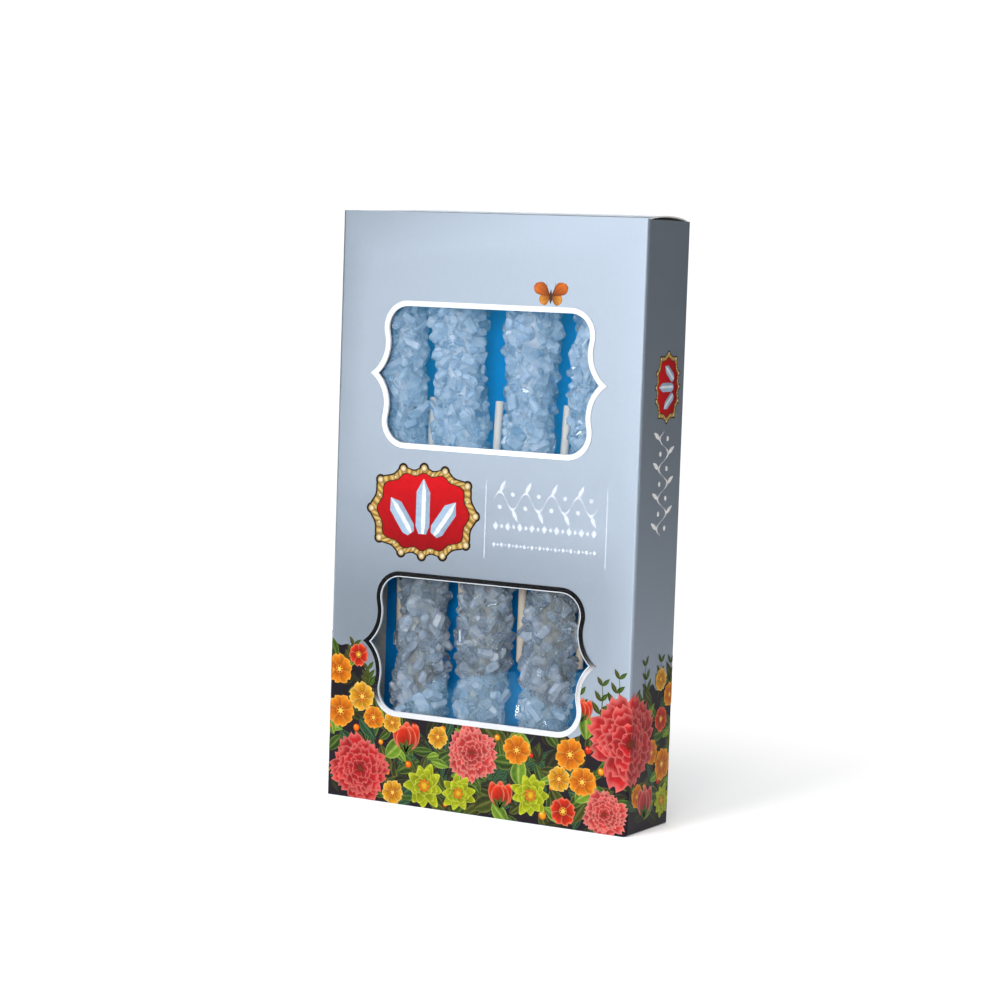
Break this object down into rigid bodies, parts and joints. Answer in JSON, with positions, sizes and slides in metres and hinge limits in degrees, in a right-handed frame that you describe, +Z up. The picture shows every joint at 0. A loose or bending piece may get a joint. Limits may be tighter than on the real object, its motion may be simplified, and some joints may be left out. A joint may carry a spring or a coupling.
{
  "type": "boxed rock candy sticks",
  "caption": "Standing folded carton with two shaped windows over clear film, holding rock candy sticks in front of a blue backing card.",
  "frame": {"origin": "middle of the carton's base, on the surface that it stands on", "axes": "+Z up along the carton's height, +X to the right along its width, windows facing -Y"},
  "size_m": [0.122, 0.032, 0.2122],
  "materials": {
    "board": "satin silver-blue coated board with a flower print",
    "film": "clear glossy film",
    "card": "matt blue",
    "wood": "smooth, unvarnished",
    "sugar": "clear to milky crystals with bright faces"
  },
  "bodies": {
    "root": {"carton": "board", "window_film": "film", "backing_card": "card", "dowel_up_1": "wood", "crystals_up_1": "sugar", "dowel_up_2": "wood", "crystals_up_2": "sugar", "dowel_up_3": "wood", "crystals_up_3": "sugar", "dowel_up_4": "wood", "crystals_up_4": "sugar", "dowel_down_1": "wood", "crystals_down_1": "sugar", "dowel_down_2": "wood", "crystals_down_2": "sugar", "dowel_down_3": "wood", "crystals_down_3": "sugar"}
  },
  "joints": []
}
